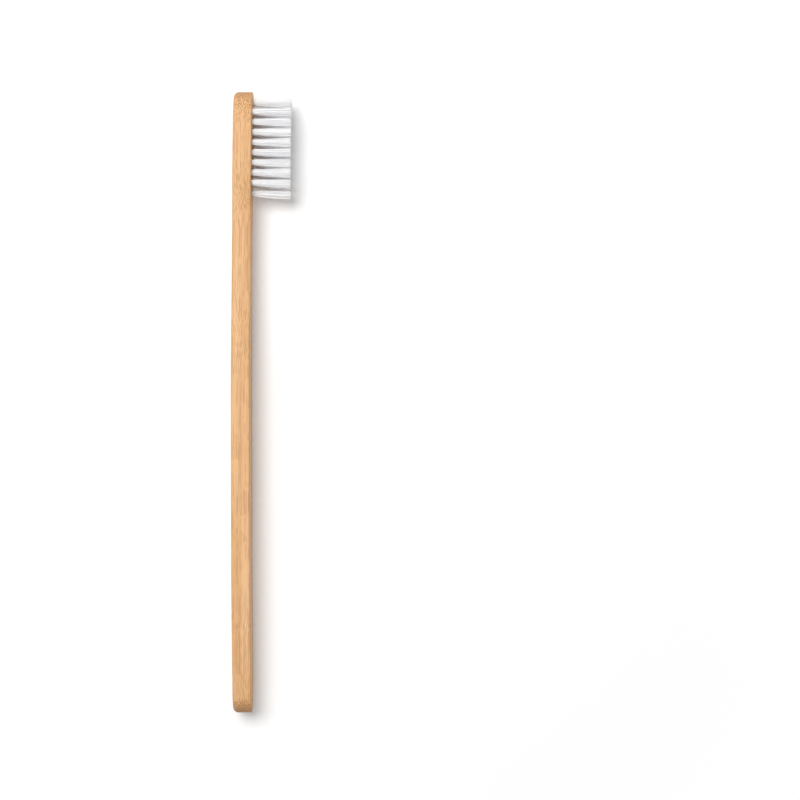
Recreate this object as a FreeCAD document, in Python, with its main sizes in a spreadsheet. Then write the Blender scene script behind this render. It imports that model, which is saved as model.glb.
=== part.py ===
import FreeCAD, Part
import math
import os

import Sketcher
from FreeCAD import Placement, Rotation, Vector

# A manual toothbrush: a shaped bamboo strip, tufts of filaments and the plates that anchor them.
# It lies on its side, as on a shelf: +Y runs along the brush to the tip of the head, +X is the way
# the bristles point, the floor is z = 0, and the middle of the brush lies over the origin.

# Driving dimensions, in millimetres unless the name says otherwise
SIZES = {
    # The bamboo strip: head and grip keep its full width
    "overall_length": 190.0,
    "strip_width": 13.0,
    "strip_thickness": 5.8,
    "front_edge_radius": 0.5,
    "back_edge_radius": 1.5,
    # The outline in plan: its round ends, and its stretches in turn from the tip of the head
    "head_tip_radius": 5.0,
    "head_shoulder_radius": 22.0,
    "tail_radius": 5.2,
    "neck_width": 8.8,
    "head_length": 22.6,
    "cheek_length": 20.0,
    "neck_length": 6.4,
    "swell_length": 44.0,
    "grip_length": 52.0,
    # The field of tuft holes: the inner two columns fill every row, the outer two skip the end rows
    "row_count": 10,
    "row_pitch": 3.08,
    "first_row": 3.35,
    "side_margin": 1.7,
    "hole_diameter": 1.8,
    "hole_depth": 3.4,
    # The tufts
    "bristle_length": 12.0,
    "tip_gap": 0.15,
    "tuft_clearance": 0.02,
    "fold_height": 0.5,
    # The anchor plates, turned from the length of the brush so that they don't split the bamboo
    "anchor_bite": 0.15,
    "anchor_height": 1.5,
    "anchor_thickness": 0.3,
    "anchor_clearance": 0.01,
    "anchor_angle_degrees": 30,
    # How far a cut runs past what it cuts
    "cut_overrun": 1.0,
}

# Columns of tufts are counted upwards across the head as it lies
COLUMN_COUNT = 4
INNER_COLUMNS = (2, 3)
OUTER_COLUMNS = (1, 4)

# Each pair of columns, with its first row and the formula for its count of rows
COLUMN_PAIRS = (
    ("inner", INNER_COLUMNS, 1, "sizes.row_count"),
    ("outer", OUTER_COLUMNS, 2, "sizes.row_count - 2"),
)

# Flat sides that stand for the round section of a bundle of filaments
BUNDLE_SIDES = 12

# Sizes that follow from the driving ones
LAYOUT = {
    # Places of the handle's middle and of its front face, with the whole brush centred on the origin
    "handle_x": "-sizes.bristle_length / 2",
    "face_x": "layout.handle_x + sizes.strip_thickness / 2",
    "middle_z": "sizes.strip_width / 2",
    # Where the stretches of the outline meet, from the tip of the head
    "neck_start": "sizes.head_length + sizes.cheek_length",
    "neck_end": "layout.neck_start + sizes.neck_length",
    "grip_start": "layout.neck_end + sizes.swell_length",
    "grip_end": "layout.grip_start + sizes.grip_length",
    # The field of tufts, which leaves a margin of wood beside the outer holes
    "first_row_y": "sizes.overall_length / 2 - sizes.first_row",
    "field_width": "sizes.strip_width - 2 * sizes.side_margin",
    "column_pitch": f"(layout.field_width - sizes.hole_diameter) / {COLUMN_COUNT - 1}",
    # A tuft's root and tip, and the anchor that holds it
    "root_radius": "sizes.hole_diameter / 2 - sizes.tuft_clearance",
    "root_depth": "sizes.hole_depth - sizes.tuft_clearance",
    "root_flat": f"layout.root_radius * cos(180 deg / {BUNDLE_SIDES})",
    "tip_radius": "(min(sizes.row_pitch; layout.column_pitch) - sizes.tip_gap) / 2",
    "tip_flat": f"layout.tip_radius * cos(180 deg / {BUNDLE_SIDES})",
    "anchor_depth": "sizes.hole_depth - sizes.fold_height",
    "anchor_width": "sizes.hole_diameter + 2 * sizes.anchor_bite",
    "slit_width": "layout.anchor_width + 2 * sizes.anchor_clearance",
    "slit_thickness": "sizes.anchor_thickness + 2 * sizes.anchor_clearance",
}
ANCHOR_ANGLE = "sizes.anchor_angle_degrees * 1 deg"

# Sketcher's numbers for the points of a line or an arc, and for the sketch's own origin and axis
START, END, CENTRE = range(1, 4)
ORIGIN = H_AXIS = -1
UP = Vector(0, 0, 1)

# A pattern's spacing that stands for the pattern's own offset
FOLLOW_OFFSET = -1


# The document's sheet and derived sizes

def make_sheet(doc):
    sheet = doc.addObject("Spreadsheet::Sheet", "sizes")
    for row, (name, value) in enumerate(SIZES.items(), start=1):
        sheet.set(f"A{row}", name)
        sheet.set(f"B{row}", str(value))
        sheet.setAlias(f"B{row}", name)
    doc.recompute()
    return sheet


def make_layout(doc):
    layout = doc.addObject("App::VarSet", "layout")
    for name, formula in LAYOUT.items():
        layout.addProperty("App::PropertyFloat", name)
        layout.setExpression(name, formula)
    doc.recompute()


# Bodies and sketches

def new_body(doc, name):
    body = doc.addObject("PartDesign::Body", name)
    body.Label = name
    return body


def origin_feature(body, role):
    return next(item for item in body.Origin.OriginFeatures if item.Role == role)


def new_sketch(body, role, name, offset="0"):
    """A sketch on one of the body's own planes, or as far above it as the offset says."""
    sketch = body.newObject("Sketcher::SketchObject", name)
    sketch.AttachmentSupport = (origin_feature(body, role), "")
    sketch.MapMode = "FlatFace"
    sketch.setExpression("AttachmentOffset.Base.z", offset)
    return sketch


def new_feature(body, kind, name, profile, length):
    """A pad or pocket of a sketch, as deep as the formula says."""
    feature = body.newObject(f"PartDesign::{kind}", name)
    feature.Profile = profile
    feature.setExpression("Length", length)
    return feature


def value_of(owner, formula):
    return float(owner.evalExpression(formula))


def constrain(sketch, *constraints):
    """Add constraints, each written as its kind followed by the pieces and points that it holds."""
    sketch.addConstraint([Sketcher.Constraint(*constraint) for constraint in constraints])


def dimension(sketch, name, formula, *arguments):
    """A dimension that starts at the formula's value and stays bound to it."""
    index = sketch.addConstraint(Sketcher.Constraint(*arguments, value_of(sketch, formula)))
    sketch.renameConstraint(index, name)
    sketch.setExpression(f"Constraints.{name}", formula)


def add_line(sketch, start, end):
    return sketch.addGeometry(Part.LineSegment(start, end))


def add_arc(sketch, centre, start, end):
    """An arc that runs counter-clockwise from start to end."""
    first = math.atan2(start.y - centre.y, start.x - centre.x)
    last = math.atan2(end.y - centre.y, end.x - centre.x)
    circle = Part.Circle(centre, UP, centre.distanceToPoint(start))
    return sketch.addGeometry(Part.ArcOfCircle(circle, first, last))


def add_polygon(sketch, points):
    """A closed run of lines through the points."""
    lines = [add_line(sketch, point, following) for point, following in zip(points, points[1:] + points[:1])]
    corners = zip(lines, lines[1:] + lines[:1])
    constrain(sketch, *(("Coincident", line, END, following, START) for line, following in corners))
    return lines


def add_circle(sketch, across, up, diameter):
    """A circle about the point (across, up)."""
    middle = Vector(value_of(sketch, across), value_of(sketch, up))
    circle = sketch.addGeometry(Part.Circle(middle, UP, value_of(sketch, diameter) / 2))
    dimension(sketch, "across", across, "DistanceX", ORIGIN, START, circle, CENTRE)
    dimension(sketch, "up", up, "DistanceY", ORIGIN, START, circle, CENTRE)
    dimension(sketch, "diameter", diameter, "Diameter", circle)


def add_plate(sketch, across, up, length, width):
    """The section of an anchor, or of its slit, about the point (across, up)."""
    middle = Vector(value_of(sketch, across), value_of(sketch, up))
    turn = Rotation(UP, value_of(sketch, ANCHOR_ANGLE))
    half_length = turn.multVec(Vector(value_of(sketch, length) / 2, 0))
    half_width = turn.multVec(Vector(0, value_of(sketch, width) / 2))
    lines = add_polygon(sketch, [
        middle - half_length - half_width,
        middle + half_length - half_width,
        middle + half_length + half_width,
        middle - half_length + half_width,
    ])
    centre = sketch.addGeometry(Part.Point(middle), True)
    constrain(
        sketch,
        ("Parallel", lines[0], lines[2]),
        ("Parallel", lines[1], lines[3]),
        ("Perpendicular", lines[0], lines[1]),
        ("Symmetric", lines[0], START, lines[2], START, centre, START),
    )
    dimension(sketch, "across", across, "DistanceX", ORIGIN, START, centre, START)
    dimension(sketch, "up", up, "DistanceY", ORIGIN, START, centre, START)
    dimension(sketch, "length", length, "Distance", lines[0])
    dimension(sketch, "width", width, "Distance", lines[1])
    dimension(sketch, "turn", ANCHOR_ANGLE, "Angle", lines[0])


# The field of tufts

def row_place(row):
    """Where a row of tufts lies along the brush, from its middle."""
    return f"layout.first_row_y - ({row} - 1) * sizes.row_pitch"


def column_place(column):
    """Where a column of tufts lies across the head, from its middle."""
    return f"({column} - ({COLUMN_COUNT} + 1) / 2) * layout.column_pitch"


def repeat_over_pair(body, name, originals, sketch, columns, rows):
    """Repeat features down the rows and from the first column of a pair to the second."""
    pattern = body.newObject("PartDesign::LinearPattern", name)
    pattern.Originals = originals
    pattern.Direction = (sketch, ["H_Axis"])
    pattern.Reversed = True
    pattern.Mode = "Spacing"
    pattern.setExpression("Offset", "sizes.row_pitch")
    pattern.setExpression("Occurrences", rows)
    pattern.Direction2 = (sketch, ["V_Axis"])
    pattern.Mode2 = "Spacing"
    pattern.Occurrences2 = len(columns)
    pattern.Spacings2 = [FOLLOW_OFFSET]
    pattern.setExpression("Offset2", f"{columns[-1] - columns[0]} * layout.column_pitch")
    body.Tip = pattern
    body.Document.recompute()


# The bamboo handle

def draw_half_outline(sketch):
    """The upper half of the outline in plan, from the tip of the head round to the tail."""
    half_length = value_of(sketch, "sizes.overall_length / 2")
    half_width = value_of(sketch, "sizes.strip_width / 2")
    half_neck = value_of(sketch, "sizes.neck_width / 2")

    # The round tip and the wider arc of the shoulder, which touch each other and the straight side
    tip = Vector(half_length, 0)
    tip_radius = value_of(sketch, "sizes.head_tip_radius")
    tip_centre = Vector(half_length - tip_radius, 0)
    shoulder_radius = value_of(sketch, "sizes.head_shoulder_radius")
    drop = shoulder_radius - half_width
    reach = math.sqrt((shoulder_radius - tip_radius) ** 2 - drop ** 2)
    shoulder_centre = Vector(tip_centre.x - reach, -drop)
    shoulder_start = tip_centre + (tip_centre - shoulder_centre).normalize() * tip_radius
    shoulder_end = Vector(shoulder_centre.x, half_width)

    # Ends of the straight stretches, from the head to the tail
    head_end = Vector(half_length - value_of(sketch, "sizes.head_length"), half_width)
    neck_start = Vector(half_length - value_of(sketch, "layout.neck_start"), half_neck)
    neck_end = Vector(half_length - value_of(sketch, "layout.neck_end"), half_neck)
    grip_start = Vector(half_length - value_of(sketch, "layout.grip_start"), half_width)
    grip_end = Vector(half_length - value_of(sketch, "layout.grip_end"), half_width)

    # The long arc of the tail, which touches the grip's side and the round end
    tail = Vector(-half_length, 0)
    tail_radius = value_of(sketch, "sizes.tail_radius")
    tail_centre = Vector(tail_radius - half_length, 0)
    run = grip_end.x - tail_centre.x
    taper_radius = (run ** 2 / (half_width - tail_radius) + half_width + tail_radius) / 2
    taper_centre = Vector(grip_end.x, half_width - taper_radius)
    taper_end = tail_centre + (tail_centre - taper_centre).normalize() * tail_radius

    def s_bend(start, end):
        """Centre, meeting point and centre of two equal arcs between two straight stretches."""
        rise = end.y - start.y
        radius = ((end.x - start.x) ** 2 + rise ** 2) / (4 * rise)
        return start + Vector(0, radius), (start + end) / 2, end - Vector(0, radius)

    cheek_centre, cheek_end, throat_centre = s_bend(head_end, neck_start)
    swell_centre, swell_end, palm_centre = s_bend(neck_end, grip_start)

    tip_arc = add_arc(sketch, tip_centre, tip, shoulder_start)
    shoulder = add_arc(sketch, shoulder_centre, shoulder_start, shoulder_end)
    head_side = add_line(sketch, shoulder_end, head_end)
    cheek = add_arc(sketch, cheek_centre, head_end, cheek_end)
    throat = add_arc(sketch, throat_centre, neck_start, cheek_end)
    neck = add_line(sketch, neck_start, neck_end)
    swell = add_arc(sketch, swell_centre, swell_end, neck_end)
    palm = add_arc(sketch, palm_centre, swell_end, grip_start)
    grip = add_line(sketch, grip_start, grip_end)
    taper = add_arc(sketch, taper_centre, grip_end, taper_end)
    tail_arc = add_arc(sketch, tail_centre, taper_end, tail)
    axis = add_line(sketch, tail, tip)

    # Each piece runs smoothly into the next; a hollow arc is met at its end and left at its start
    hollow = (throat, swell)
    chain = [tip_arc, shoulder, head_side, cheek, throat, neck, swell, palm, grip, taper, tail_arc]
    for piece, following in zip(chain, chain[1:]):
        leave = START if piece in hollow else END
        enter = END if following in hollow else START
        constrain(sketch, ("Tangent", piece, leave, following, enter))
    on_axis = ((axis, START), (axis, END), (tip_arc, CENTRE), (tail_arc, CENTRE))
    constrain(
        sketch,
        ("Coincident", tail_arc, END, axis, START),
        ("Coincident", axis, END, tip_arc, START),
        *(("PointOnObject", piece, point, H_AXIS) for piece, point in on_axis),
        *(("Horizontal", piece) for piece in (head_side, neck, grip)),
        ("Equal", cheek, throat),
        ("Equal", swell, palm),
    )

    half = "sizes.overall_length / 2"
    dimension(sketch, "tip_reach", half, "DistanceX", ORIGIN, START, tip_arc, START)
    dimension(sketch, "tail_reach", half, "DistanceX", tail_arc, END, ORIGIN, START)
    widths = (
        ("half_head", head_side, "sizes.strip_width / 2"),
        ("half_neck", neck, "sizes.neck_width / 2"),
        ("half_grip", grip, "sizes.strip_width / 2"),
    )
    for name, piece, formula in widths:
        dimension(sketch, name, formula, "DistanceY", ORIGIN, START, piece, START)
    stations = (
        ("head_end", head_side, END, "sizes.head_length"),
        ("neck_start", neck, START, "layout.neck_start"),
        ("neck_end", neck, END, "layout.neck_end"),
        ("grip_start", grip, START, "layout.grip_start"),
        ("grip_end", grip, END, "layout.grip_end"),
    )
    for name, piece, point, formula in stations:
        dimension(sketch, name, formula, "DistanceX", piece, point, tip_arc, START)
    radii = (("head_tip_radius", tip_arc), ("head_shoulder_radius", shoulder), ("tail_radius", tail_arc))
    for name, arc in radii:
        dimension(sketch, name, f"sizes.{name}", "Radius", arc)


def round_rim(body, name, radius_name, side):
    """Round the rim of the handle's front face (side 1) or back face (side -1)."""
    base = body.Tip
    face = max(base.Shape.Faces, key=lambda item: side * item.CenterOfMass.x)
    rim = [
        f"Edge{number}" for number, edge in enumerate(base.Shape.Edges, start=1)
        if any(edge.isSame(rim_edge) for rim_edge in face.OuterWire.Edges)
    ]
    fillet = body.newObject("PartDesign::Fillet", name)
    fillet.Base = (base, rim)
    fillet.setExpression("Radius", f"sizes.{radius_name}")
    body.Document.recompute()


def cut_tuft_holes(body, pair, columns, first_row, rows):
    """Drill the holes of two columns, with the slits that the anchors were pushed in through."""
    face = "sizes.strip_thickness / 2"
    across = row_place(first_row)
    up = column_place(columns[0])

    hole_sketch = new_sketch(body, "YZ_Plane", f"{pair}_hole_sketch", face)
    add_circle(hole_sketch, across, up, "sizes.hole_diameter")
    hole = new_feature(body, "Pocket", f"{pair}_hole", hole_sketch, "sizes.hole_depth")

    slit_sketch = new_sketch(body, "YZ_Plane", f"{pair}_slit_sketch", face)
    add_plate(slit_sketch, across, up, "layout.slit_width", "layout.slit_thickness")
    slit = new_feature(body, "Pocket", f"{pair}_slit", slit_sketch, "sizes.hole_depth")
    body.Document.recompute()
    repeat_over_pair(body, f"{pair}_holes", [hole, slit], hole_sketch, columns, rows)


def make_handle(doc):
    body = new_body(doc, "bamboo_handle")
    outline = new_sketch(body, "YZ_Plane", "half_outline")
    draw_half_outline(outline)
    half = new_feature(body, "Pad", "half_strip", outline, "sizes.strip_thickness")
    half.SideType = "Symmetric"
    doc.recompute()
    whole = body.newObject("PartDesign::Mirrored", "whole_strip")
    whole.Originals = [half]
    whole.MirrorPlane = (origin_feature(body, "XY_Plane"), [""])
    body.Tip = whole
    doc.recompute()

    round_rim(body, "front_rounding", "front_edge_radius", 1)
    round_rim(body, "back_rounding", "back_edge_radius", -1)
    for pair, columns, first_row, rows in COLUMN_PAIRS:
        cut_tuft_holes(body, pair, columns, first_row, rows)
    body.setExpression("Placement.Base.x", "layout.handle_x")
    body.setExpression("Placement.Base.z", "layout.middle_z")
    return body


# The tufts and their anchors

def draw_tuft_side(sketch):
    """What is cut away beside one flat side of a bundle, from its folded root to its trimmed tip."""
    far = "layout.tip_radius + 2 * sizes.cut_overrun"
    corners = (
        ("root", "-layout.root_depth", "layout.root_flat"),
        ("mouth", "0", "layout.root_flat"),
        ("tip", "sizes.bristle_length", "layout.tip_flat"),
        ("tip_far", "sizes.bristle_length", far),
        ("root_far", "-layout.root_depth", far),
    )
    lines = add_polygon(sketch, [
        Vector(value_of(sketch, along), value_of(sketch, out)) for _, along, out in corners
    ])
    for line, (name, along, out) in zip(lines, corners):
        dimension(sketch, f"{name}_along", along, "DistanceX", ORIGIN, START, line, START)
        dimension(sketch, f"{name}_out", out, "DistanceY", ORIGIN, START, line, START)


def make_tuft_form(doc):
    """A bundle of filaments: its folded root fills a hole, and its free part flares to the trimmed tip."""
    body = new_body(doc, "tuft_form")
    round_sketch = new_sketch(body, "YZ_Plane", "round_sketch", "-layout.root_depth")
    add_circle(round_sketch, "0", "0", "2 * (layout.tip_radius + sizes.cut_overrun)")
    new_feature(body, "Pad", "round", round_sketch, "layout.root_depth + sizes.bristle_length")

    side_sketch = new_sketch(body, "XY_Plane", "side_sketch")
    draw_tuft_side(side_sketch)
    side = body.newObject("PartDesign::Pocket", "side")
    side.Profile = side_sketch
    side.Type = "ThroughAll"
    side.SideType = "Symmetric"
    sides = body.newObject("PartDesign::PolarPattern", "sides")
    sides.Originals = [side]
    sides.Axis = (origin_feature(body, "X_Axis"), [""])
    sides.Occurrences = BUNDLE_SIDES
    body.Tip = sides

    # The gap between the two legs of the fold, where the anchor sits
    gap_top = "sizes.anchor_height + sizes.anchor_clearance - layout.anchor_depth"
    gap_sketch = new_sketch(body, "YZ_Plane", "gap_sketch", gap_top)
    add_plate(gap_sketch, "0", "0", "layout.slit_width", "layout.slit_thickness")
    new_feature(body, "Pocket", "gap", gap_sketch, "sizes.anchor_height + 2 * sizes.anchor_clearance")
    doc.recompute()
    return body


def make_tuft(doc, form, row, column):
    """A copy of the tuft's form, standing in its own hole."""
    name = f"bristle_tuft_r{row:02d}_c{column}"
    body = new_body(doc, name)
    copy = doc.addObject("PartDesign::FeatureBase", f"{name}_copy")
    copy.BaseFeature = form
    body.Group = [copy]
    body.Tip = copy
    body.setExpression("Placement.Base.x", "layout.face_x")
    body.setExpression("Placement.Base.y", row_place(row))
    body.setExpression("Placement.Base.z", f"layout.middle_z + {column_place(column)}")
    return body


def make_anchors(doc):
    """All the anchor plates, as separate solids of one body."""
    body = new_body(doc, "tuft_anchors")
    body.AllowCompound = True
    for pair, columns, first_row, rows in COLUMN_PAIRS:
        sketch = new_sketch(body, "YZ_Plane", f"{pair}_anchor_sketch", "-layout.anchor_depth")
        add_plate(sketch, row_place(first_row), column_place(columns[0]),
                  "layout.anchor_width", "sizes.anchor_thickness")
        plate = new_feature(body, "Pad", f"{pair}_anchor", sketch, "sizes.anchor_height")
        doc.recompute()
        repeat_over_pair(body, f"{pair}_anchors", [plate], sketch, columns, rows)
    body.setExpression("Placement.Base.x", "layout.face_x")
    body.setExpression("Placement.Base.z", "layout.middle_z")
    return body


# Checks on the finished document

def check_document(doc, bodies):
    for item in doc.Objects:
        if "Invalid" in item.State or "Error" in item.State:
            raise RuntimeError(f"{item.Name} did not rebuild: {item.State}")
        if item.isDerivedFrom("Sketcher::SketchObject") and not item.FullyConstrained:
            raise RuntimeError(f"{item.Name} is not fully constrained")
        if item.isDerivedFrom("PartDesign::Pocket") and item.Shape.Volume >= item.BaseFeature.Shape.Volume:
            raise RuntimeError(f"{item.Name} cut nothing")
    for body in bodies:
        if body.Shape.isNull() or not body.Shape.isValid():
            raise RuntimeError(f"{body.Label} has no valid shape")


def main():
    doc = FreeCAD.newDocument("toothbrush")
    sheet = make_sheet(doc)
    make_layout(doc)
    row_count = int(sheet.get("row_count"))

    bodies = [make_handle(doc), make_anchors(doc)]
    form = make_tuft_form(doc)
    for row in range(1, row_count + 1):
        columns = INNER_COLUMNS if row in (1, row_count) else range(1, COLUMN_COUNT + 1)
        for column in columns:
            bodies.append(make_tuft(doc, form, row, column))
    doc.recompute()
    check_document(doc, bodies)

    os.makedirs("parts", exist_ok=True)
    for body in bodies:
        body.Shape.exportStep(f"parts/{body.Label}.step")
        print(body.Label, len(body.Shape.Solids), "solids", round(body.Shape.Volume, 3), "mm3")


main()
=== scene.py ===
import math
import random

import bmesh
import bpy
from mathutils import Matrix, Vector


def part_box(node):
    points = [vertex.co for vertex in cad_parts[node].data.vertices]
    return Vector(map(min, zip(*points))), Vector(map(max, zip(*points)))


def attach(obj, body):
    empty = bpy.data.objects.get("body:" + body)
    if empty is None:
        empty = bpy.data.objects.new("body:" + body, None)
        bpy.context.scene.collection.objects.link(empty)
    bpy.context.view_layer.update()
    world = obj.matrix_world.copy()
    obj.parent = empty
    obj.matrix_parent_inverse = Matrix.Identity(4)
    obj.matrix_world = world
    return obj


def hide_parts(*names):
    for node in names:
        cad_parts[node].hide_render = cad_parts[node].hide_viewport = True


# A manual toothbrush lying on its side: bare bamboo, white nylon filaments and brass anchors.
# Metres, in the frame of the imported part: +Y to the tip of the head, +X the way the bristles point.

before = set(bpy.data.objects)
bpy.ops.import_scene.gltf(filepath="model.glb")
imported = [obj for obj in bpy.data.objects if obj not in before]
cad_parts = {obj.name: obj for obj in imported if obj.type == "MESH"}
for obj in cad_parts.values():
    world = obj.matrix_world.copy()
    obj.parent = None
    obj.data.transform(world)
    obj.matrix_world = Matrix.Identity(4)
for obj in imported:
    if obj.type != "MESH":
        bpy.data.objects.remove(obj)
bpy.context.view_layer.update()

MM = 0.001
BODY = "root"
HANDLE = "bamboo_handle"
ANCHORS = "tuft_anchors"
TUFTS = sorted(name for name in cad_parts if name.startswith("bristle_tuft"))
FIRST_TUFT, LAST_TUFT = TUFTS[0], TUFTS[-1]
HANDLE_LOW, HANDLE_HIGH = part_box(HANDLE)
HEAD_MIDDLE_Y = (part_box(FIRST_TUFT)[1].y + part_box(LAST_TUFT)[0].y) / 2

# The strip has dried to a slight bow, with both ends towards the bristles
BOW_CURVATURE = 0.07
BOW_LOWEST_Y = -8.5 * MM

# The filaments of a tuft, with how unevenly they are trimmed, placed and curved
SEED = 7
FILAMENT_COUNT = 45
FILAMENT_SIDES = 7
FILAMENT_RADIUS = 0.07 * MM
FILAMENT_ROOT_DEPTH = 1.3 * MM
TRIM_SPREAD = 0.14 * MM
SIDE_SPREAD = 0.035 * MM
SWAY = 0.06 * MM
TUFT_LEAN = 0.07 * MM
# How far a tuft's tip leans to the tail, for its depth below the upper side, as a share of that depth
DEPTH_LEAN_SHARE = 0.08
# How far a tuft's tip leans away from the middle of the head, as a share of its own distance from there
SPLAY_SHARE = 0.012
# The mouth of a hole beside the trimmed tip of its tuft, and the tip's spread along the head
MOUTH_SHARE = 0.72
ROW_SPREAD_SHARE = 1.2
# How much sooner than evenly a tuft spreads on its way out of its hole, as a share of its spread
FLARE_SHARE = 0.9
# Rings of a filament, as shares of the way from the mouth of its hole to its tip
RING_SHARES = (0.0, 0.12, 0.35, 0.6, 0.82)
# The rounded tip, as shares of a filament's radius: how far back a ring is, and how wide
TIP_SHARES = ((1.2, 1.0), (0.45, 0.86), (0.0, 0.45))
# The turn from one filament to the next that spreads them evenly over a disc
GOLDEN_ANGLE = math.pi * (3 - math.sqrt(5))

# Noises of the materials: waves per metre along each axis, and how many finer layers each has
DRIFT_NOISE = ((140.0, 120.0, 140.0), 1.5)
FIBRE_NOISE = ((5200.0, 95.0, 5200.0), 2.0)
STREAK_NOISE = ((420.0, 11.0, 420.0), 2.5)
HUE_NOISE = ((160.0, 26.0, 160.0), 1.0)
NYLON_NOISE = ((900.0, 9000.0, 9000.0), 1.0)
BRASS_NOISE = ((9000.0, 400.0, 400.0), 2.0)
NOISE_ROUGHNESS = 0.55
NOISE_MIDDLE = (0.5, 0.5, 0.5)
WHOLE = (0.0, 1.0)
# The stretch of a noise's strength over which each effect comes in
STREAK_SPAN = (0.34, 0.66)
HUE_SPAN = (0.45, 0.70)
FIBRE_TONE_SPAN = (0.30, 0.70)
FIBRE_ROUGHNESS_SPAN = (0.25, 0.75)
MARK_SPAN = (0.3, 0.7)

# Bamboo: the colours of its wood and fibres
PALE_WOOD = (0.829, 0.508, 0.260, 1.0)
DEEP_WOOD = (0.743, 0.425, 0.196, 1.0)
ROSY_WOOD = (0.792, 0.442, 0.225, 1.0)
FIBRE_BROWN = (0.390, 0.168, 0.047, 1.0)
CUT_END_BROWN = (0.420, 0.225, 0.100, 1.0)
ROSY_SHARES = (0.0, 0.6)
FIBRE_TONE_SHARES = (0.90, 1.08)
# Bundles and strands: how many per metre, how irregular, and the least and greatest reach in a cell
BUNDLES = (2300.0, 0.75, (0.20, 0.36))
STRANDS = (3600.0, 1.0, (0.12, 0.36))
STRAND_EDGE_SHARES = (0.65, 1.25)
DRIFT_REACH = 1.1 * MM
GRAIN_RELIEF = 0.03 * MM
GRAIN_STRENGTH = 0.35
# How strongly strands, bundles along the sides and cut ends show
STRAND_SHARE = 0.25
SIDE_BUNDLE_SHARE = 0.42
CUT_END_SHARE = 0.48
# The slants to the fibres between which cut ends come in, and how much of that shows bundles in full
CUT_END_SLANTS = (0.04, 0.95)
FULL_BUNDLE_SHARE = 0.35
# How much of its tone the wood keeps at the tail and at its very end, and how far up each fades out; the
# darkening at the very end is painted shade, for the end that faces away from the key light
TAIL_SHARE = 0.95
TAIL_FADE_Y = -20 * MM
TAIL_END_SHADE_SHARE = 0.80
TAIL_END_SHADE_LENGTH = 7 * MM

NYLON_TONES = ((0.982, 0.983, 0.990, 1.0), (0.994, 0.995, 0.999, 1.0))
BRASS_TONES = ((0.62, 0.45, 0.19, 1.0), (0.80, 0.62, 0.30, 1.0))
WOOD_ROUGHNESS = (0.50, 0.64)
NYLON_ROUGHNESS = (0.32, 0.46)
BRASS_ROUGHNESS = (0.28, 0.45)
WOOD_SPECULAR = 0.32
NYLON_SPECULAR = 0.4
NYLON_IOR = 1.53

# The camera looks straight down, with the brush at the left of the frame
CAMERA_PLACE = Vector((42.4 * MM, 0.7 * MM, 706.5 * MM))
SENSOR_WIDTH_MM = 36.0
LENS_MM = 102.8

# A soft key light from the upper left, and an even fill
KEY_DIRECTION = Vector((-0.29, 0.34, 1.0))
KEY_DISTANCE = 1.2
KEY_SIZE = 0.72
KEY_POWER_W = 11.7
FILL_STRENGTH = 0.36
FLOOR_SIZE = 6.0
FLOOR_COLOUR = (0.86, 0.86, 0.86, 1.0)
FLOOR_LIFT = 0.17
WHITE = (1.0, 1.0, 1.0, 1.0)
# Away from the object the floor goes over to plain white between these distances
FLOOR_NEAR = 0.13
FLOOR_FAR = 0.60
# Light goes from filament to filament many times over
LIGHT_BOUNCES = 128


# Helpers for node trees

def new_tree(name):
    material = bpy.data.materials.new(name)
    material.use_nodes = True
    material.node_tree.nodes.clear()
    return material, material.node_tree


def set_input(tree, socket, value):
    """Give a socket a constant, or link it to another node's output."""
    if isinstance(value, bpy.types.NodeSocket):
        tree.links.new(value, socket)
    else:
        socket.default_value = value


def set_inputs(tree, node, values):
    """Give a node's first sockets their values, in order."""
    for socket, value in zip(node.inputs, values):
        set_input(tree, socket, value)


def add_node(tree, kind, **values):
    """A node whose values are given by the names of its settings, or of its sockets with _ for a space."""
    node = tree.nodes.new(kind)
    for name, value in values.items():
        if hasattr(node, name):
            setattr(node, name, value)
        else:
            set_input(tree, node.inputs[name.replace("_", " ")], value)
    return node


def add_math(tree, operation, *values):
    """A number worked out from others, each a constant or a node's output."""
    node = add_node(tree, "ShaderNodeMath", operation=operation)
    set_inputs(tree, node, values)
    return node.outputs["Value"]


def add_vector_math(tree, operation, *values):
    """A node that works on vectors, each a constant or a node's output."""
    node = add_node(tree, "ShaderNodeVectorMath", operation=operation)
    set_inputs(tree, node, values)
    return node


def add_range(tree, value, before, after):
    """A value carried smoothly from one range to another, each a low end and a high end."""
    node = add_node(tree, "ShaderNodeMapRange", interpolation_type="SMOOTHSTEP", Value=value,
                    From_Min=before[0], From_Max=before[1], To_Min=after[0], To_Max=after[1])
    return node.outputs["Result"]


def add_mix(tree, share, first, second, blend_type="MIX"):
    """Two colours mixed by a share, each of the three a constant or a node's output."""
    node = add_node(tree, "ShaderNodeMix", data_type="RGBA", blend_type=blend_type)
    for socket, value in zip((node.inputs[0], node.inputs[6], node.inputs[7]), (share, first, second)):
        set_input(tree, socket, value)
    return node.outputs[2]


def add_noise(tree, position, per_metre, detail):
    """Noise with its own number of waves per metre along each axis."""
    scaled = add_vector_math(tree, "MULTIPLY", position, per_metre)
    return add_node(tree, "ShaderNodeTexNoise", Vector=scaled.outputs["Vector"], Scale=1.0, Detail=detail,
                    Roughness=NOISE_ROUGHNESS)


def add_object_position(tree):
    return add_node(tree, "ShaderNodeTexCoord").outputs["Object"]


def add_seen(tree):
    """1 on rays that show the background, to the camera, in metal or through glass, and 0 on the others."""
    path = add_node(tree, "ShaderNodeLightPath")
    seen = add_math(tree, "MAXIMUM", path.outputs["Is Camera Ray"], path.outputs["Is Glossy Ray"])
    return add_math(tree, "MAXIMUM", seen, path.outputs["Is Transmission Ray"])


def show_surface(tree, shader):
    add_node(tree, "ShaderNodeOutputMaterial", Surface=shader)


# Materials

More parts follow.
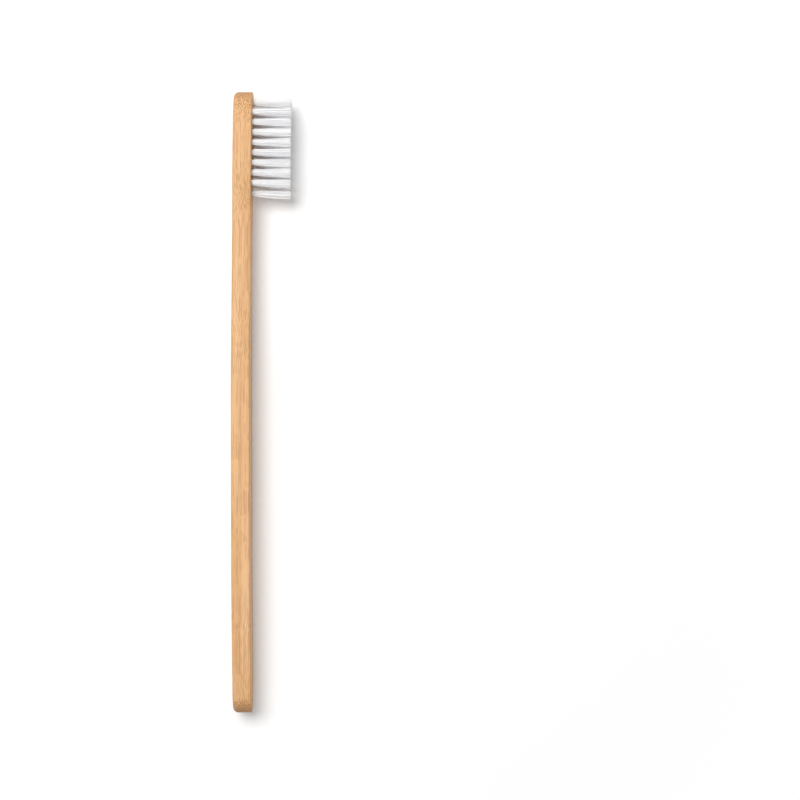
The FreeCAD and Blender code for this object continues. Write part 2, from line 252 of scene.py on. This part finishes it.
def add_grain_section(tree, position):
    """Places across the strip, for bundles that wander a little on their way along it."""
    drift = add_noise(tree, position, *DRIFT_NOISE).outputs["Color"]
    offset = add_vector_math(tree, "SUBTRACT", drift, NOISE_MIDDLE).outputs["Vector"]
    wandering = add_vector_math(tree, "MULTIPLY_ADD", offset, (DRIFT_REACH,) * 3, position)
    places = add_node(tree, "ShaderNodeSeparateXYZ", Vector=wandering.outputs["Vector"])
    section = add_node(tree, "ShaderNodeCombineXYZ", X=places.outputs["X"], Y=places.outputs["Z"])
    return section.outputs["Vector"]


def add_strands(tree, section, per_metre, irregularity, reach_range):
    """Round strands in cross-section: 1 inside a strand, 0 between them, each with its own reach."""
    cells = add_node(tree, "ShaderNodeTexVoronoi", voronoi_dimensions="2D", Vector=section, Scale=per_metre,
                     Randomness=irregularity)
    chance = add_node(tree, "ShaderNodeSeparateColor", Color=cells.outputs["Color"])
    reach = add_range(tree, chance.outputs["Red"], WHOLE, reach_range)
    nearness = add_math(tree, "DIVIDE", cells.outputs["Distance"], reach)
    return add_range(tree, nearness, STRAND_EDGE_SHARES, (1.0, 0.0))


def add_wood(tree, position, fibres):
    """The wood between the bundles: fine fibres, with broad paler and redder streaks, deeper at the tail, and
    painted shade on the very end of the tail.
    """
    streaks = add_noise(tree, position, *STREAK_NOISE).outputs["Fac"]
    hues = add_noise(tree, position, *HUE_NOISE).outputs["Fac"]
    wood = add_mix(tree, add_range(tree, streaks, STREAK_SPAN, WHOLE), DEEP_WOOD, PALE_WOOD)
    wood = add_mix(tree, add_range(tree, hues, HUE_SPAN, ROSY_SHARES), wood, ROSY_WOOD)
    fibre_tone = add_range(tree, fibres, FIBRE_TONE_SPAN, FIBRE_TONE_SHARES)
    wood = add_mix(tree, 1.0, wood, fibre_tone, "MULTIPLY")

    along = add_node(tree, "ShaderNodeSeparateXYZ", Vector=position).outputs["Y"]
    tail = add_range(tree, along, (HANDLE_LOW.y, TAIL_FADE_Y), (TAIL_SHARE, 1.0))
    # Painted shade: the last few millimetres of the tail darken, as that end faces away from the key light
    tail_shade_range = (HANDLE_LOW.y, HANDLE_LOW.y + TAIL_END_SHADE_LENGTH)
    painted_tail_shade = add_range(tree, along, tail_shade_range, (TAIL_END_SHADE_SHARE, 1.0))
    return add_mix(tree, 1.0, wood, add_math(tree, "MULTIPLY", tail, painted_tail_shade), "MULTIPLY")


def add_end_grain(tree):
    """How far the surface cuts across the fibres: 0 along them, 1 at the ends of the strip."""
    normal = add_node(tree, "ShaderNodeNewGeometry").outputs["Normal"]
    facing = add_node(tree, "ShaderNodeSeparateXYZ", Vector=normal).outputs["Y"]
    return add_range(tree, add_math(tree, "ABSOLUTE", facing), CUT_END_SLANTS, WHOLE)


def make_bamboo():
    """Bare sanded bamboo: bundles of dark fibres run the length of the strip through paler wood, so the
    surface shows lines where it lies along them, dashes where it slants and dots at the ends."""
    material, tree = new_tree("bamboo")
    position = add_object_position(tree)
    section = add_grain_section(tree, position)
    bundle = add_strands(tree, section, *BUNDLES)
    strand = add_strands(tree, section, *STRANDS)
    fibres = add_noise(tree, position, *FIBRE_NOISE).outputs["Fac"]
    end_grain = add_end_grain(tree)

    colour = add_wood(tree, position, fibres)
    colour = add_mix(tree, add_math(tree, "MULTIPLY", end_grain, CUT_END_SHARE), colour, CUT_END_BROWN)
    colour = add_mix(tree, add_math(tree, "MULTIPLY", strand, STRAND_SHARE), colour, FIBRE_BROWN)
    depth = add_range(tree, end_grain, (0.0, FULL_BUNDLE_SHARE), (SIDE_BUNDLE_SHARE, 1.0))
    colour = add_mix(tree, add_math(tree, "MULTIPLY", bundle, depth), colour, FIBRE_BROWN)

    height = add_math(tree, "SUBTRACT", fibres, bundle)
    bump = add_node(tree, "ShaderNodeBump", Strength=GRAIN_STRENGTH, Distance=GRAIN_RELIEF, Height=height)
    roughness = add_range(tree, fibres, FIBRE_ROUGHNESS_SPAN, WOOD_ROUGHNESS)
    surface = add_node(tree, "ShaderNodeBsdfPrincipled", Specular_IOR_Level=WOOD_SPECULAR, Base_Color=colour,
                       Roughness=roughness, Normal=bump.outputs["Normal"])
    show_surface(tree, surface.outputs["BSDF"])
    return material


def make_nylon():
    """White nylon filament, each with a tone of its own."""
    material, tree = new_tree("nylon")
    chance = add_node(tree, "ShaderNodeNewGeometry").outputs["Random Per Island"]
    colour = add_mix(tree, add_range(tree, chance, WHOLE, WHOLE), *NYLON_TONES)
    drawn = add_noise(tree, add_object_position(tree), *NYLON_NOISE).outputs["Fac"]
    roughness = add_range(tree, drawn, MARK_SPAN, NYLON_ROUGHNESS)
    surface = add_node(tree, "ShaderNodeBsdfPrincipled", IOR=NYLON_IOR,
                       Specular_IOR_Level=NYLON_SPECULAR, Base_Color=colour, Roughness=roughness)
    show_surface(tree, surface.outputs["BSDF"])
    return material


def make_brass():
    """Rolled brass strip, with fine rolling marks and a dulled tone."""
    material, tree = new_tree("brass")
    marks = add_noise(tree, add_object_position(tree), *BRASS_NOISE).outputs["Fac"]
    colour = add_mix(tree, marks, *BRASS_TONES)
    roughness = add_range(tree, marks, MARK_SPAN, BRASS_ROUGHNESS)
    surface = add_node(tree, "ShaderNodeBsdfPrincipled", Metallic=1.0, Base_Color=colour, Roughness=roughness)
    show_surface(tree, surface.outputs["BSDF"])
    return material


def make_floor_material():
    """A pale floor that keeps its shadows and reads as white where nothing shades it."""
    material, tree = new_tree("floor")
    distance = add_vector_math(tree, "LENGTH", add_object_position(tree)).outputs["Value"]
    lift = add_range(tree, distance, (FLOOR_NEAR, FLOOR_FAR), (FLOOR_LIFT, 1.0))
    matt = add_node(tree, "ShaderNodeBsdfDiffuse", Color=FLOOR_COLOUR)
    glow = add_node(tree, "ShaderNodeEmission", Strength=add_math(tree, "MULTIPLY", add_seen(tree), lift))
    both = add_node(tree, "ShaderNodeAddShader")
    set_inputs(tree, both, (matt.outputs["BSDF"], glow.outputs["Emission"]))
    show_surface(tree, both.outputs["Shader"])
    return material


# Pieces

def bow(y):
    """How far the strip lies towards the bristles at a place along it."""
    mean_square = (HANDLE_HIGH.y - HANDLE_LOW.y) ** 2 / 12 + BOW_LOWEST_Y ** 2
    return BOW_CURVATURE * ((y - BOW_LOWEST_Y) ** 2 - mean_square)


def bow_slope(y):
    return 2 * BOW_CURVATURE * (y - BOW_LOWEST_Y)


def show_piece(mesh, name, node, material):
    """Put a new piece in the scene in the place of a node."""
    piece = bpy.data.objects.new(name, mesh)
    bpy.context.scene.collection.objects.link(piece)
    mesh.materials.clear()
    mesh.materials.append(material)
    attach(piece, BODY)
    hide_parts(node)


def make_handle(material):
    """The shaped strip, bowed as it lies in use."""
    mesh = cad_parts[HANDLE].data.copy()
    for vertex in mesh.vertices:
        vertex.co.x += bow(vertex.co.y)
    show_piece(mesh, "bamboo_strip", HANDLE, material)


def add_filament(shape, root, mouth, tip, bend, radius):
    """A round filament from its root in the hole, over the mouth, to its rounded tip."""
    along = (tip - mouth).normalized()
    across = along.orthogonal().normalized()
    aside = along.cross(across)
    spread = Vector((0, tip.y - mouth.y, tip.z - mouth.z))
    rings = [(root, radius)]
    for share in RING_SHARES:
        swell = bend * math.sin(math.pi * share / 2) ** 2
        flare = spread * FLARE_SHARE * share * (1 - share)
        rings.append((mouth.lerp(tip, share) + swell + flare, radius))
    end = tip + bend
    rings += [(end - along * radius * back, radius * wide) for back, wide in TIP_SHARES]

    loops = []
    for centre, ring_radius in rings:
        loop = []
        for side in range(FILAMENT_SIDES):
            angle = math.tau * side / FILAMENT_SIDES
            spoke = across * math.cos(angle) + aside * math.sin(angle)
            loop.append(shape.verts.new(centre + spoke * ring_radius))
        loops.append(loop)
    for loop, following in zip(loops, loops[1:]):
        for side in range(FILAMENT_SIDES):
            other = (side + 1) % FILAMENT_SIDES
            shape.faces.new((loop[side], loop[other], following[other], following[side]))
    shape.faces.new(reversed(loops[0]))
    shape.faces.new(loops[-1])


def scatter(chance, spread):
    """A chance step along the head and up or down, of about a given size."""
    return Vector((0, chance.gauss(0, 1), chance.gauss(0, 1))) * spread


def make_tuft(node, material, chance):
    """A bundle of filaments in a tuft's own hole, spread evenly over its mouth and its trimmed tip."""
    low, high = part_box(node)
    face_x = HANDLE_HIGH.x
    middle = (low + high) / 2
    slope = bow_slope(middle.y)
    foot = Vector((face_x + bow(middle.y), middle.y, middle.z))
    length = high.x - face_x
    mouth_radius = MOUTH_SHARE * (high.y - low.y) / 2 - FILAMENT_RADIUS
    tip_radius = (high.y - low.y) / 2 - FILAMENT_RADIUS
    lean = scatter(chance, TUFT_LEAN)
    lean.y -= DEPTH_LEAN_SHARE * (HANDLE_HIGH.z - high.z)
    lean.y += SPLAY_SHARE * (middle.y - HEAD_MIDDLE_Y)
    turn = chance.uniform(0, math.tau)

    shape = bmesh.new()
    for number in range(FILAMENT_COUNT):
        out = math.sqrt((number + 0.5) / FILAMENT_COUNT)
        angle = turn + number * GOLDEN_ANGLE
        spoke = Vector((0, math.cos(angle), math.sin(angle))) * out
        jitter = scatter(chance, SIDE_SPREAD)
        reach = length + min(chance.gauss(0, 1), 1.0) * TRIM_SPREAD - TRIM_SPREAD
        mouth = foot + spoke * mouth_radius
        root = mouth - Vector((FILAMENT_ROOT_DEPTH, 0, 0))
        spread = Vector((0, spoke.y * ROW_SPREAD_SHARE, spoke.z)) * tip_radius
        tip = foot + spread + jitter + lean + Vector((reach, -slope * reach, 0))
        add_filament(shape, root, mouth, tip, scatter(chance, SWAY), FILAMENT_RADIUS)
    mesh = bpy.data.meshes.new(f"{node}_filaments")
    shape.to_mesh(mesh)
    shape.free()
    mesh.shade_smooth()
    show_piece(mesh, f"{node}_filaments", node, material)


# Stage

def make_floor():
    half = FLOOR_SIZE / 2
    corners = [(-half, -half, 0), (half, -half, 0), (half, half, 0), (-half, half, 0)]
    mesh = bpy.data.meshes.new("floor")
    mesh.from_pydata(corners, [], [(0, 1, 2, 3)])
    mesh.materials.append(make_floor_material())
    floor = bpy.data.objects.new("floor", mesh)
    bpy.context.scene.collection.objects.link(floor)


def make_light():
    lamp = bpy.data.lights.new("key", "AREA")
    lamp.shape = "DISK"
    lamp.size = KEY_SIZE
    lamp.energy = KEY_POWER_W
    key = bpy.data.objects.new("key", lamp)
    key.location = KEY_DIRECTION.normalized() * KEY_DISTANCE
    key.rotation_euler = KEY_DIRECTION.to_track_quat("Z", "Y").to_euler()
    bpy.context.scene.collection.objects.link(key)


def make_world():
    """An even white surround: a fill on the object, and plain white where it is seen."""
    world = bpy.data.worlds.new("surround")
    world.use_nodes = True
    tree = world.node_tree
    tree.nodes.clear()
    strength = add_range(tree, add_seen(tree), WHOLE, (FILL_STRENGTH, 1.0))
    surround = add_node(tree, "ShaderNodeBackground", Color=WHITE, Strength=strength)
    add_node(tree, "ShaderNodeOutputWorld", Surface=surround.outputs["Background"])
    bpy.context.scene.world = world


def make_camera():
    lens = bpy.data.cameras.new("camera")
    lens.sensor_width = SENSOR_WIDTH_MM
    lens.lens = LENS_MM
    camera = bpy.data.objects.new("camera", lens)
    camera.location = CAMERA_PLACE
    bpy.context.scene.collection.objects.link(camera)
    bpy.context.scene.camera = camera


# The whole picture

bpy.context.scene.view_settings.view_transform = "Standard"
bpy.context.scene.cycles.max_bounces = LIGHT_BOUNCES
bpy.context.scene.cycles.diffuse_bounces = LIGHT_BOUNCES
make_camera()
make_light()
make_world()
make_floor()
make_handle(make_bamboo())
nylon = make_nylon()
seeded = random.Random(SEED)
for tuft in TUFTS:
    make_tuft(tuft, nylon, seeded)
anchor_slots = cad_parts[ANCHORS].data.materials
anchor_slots.clear()
anchor_slots.append(make_brass())
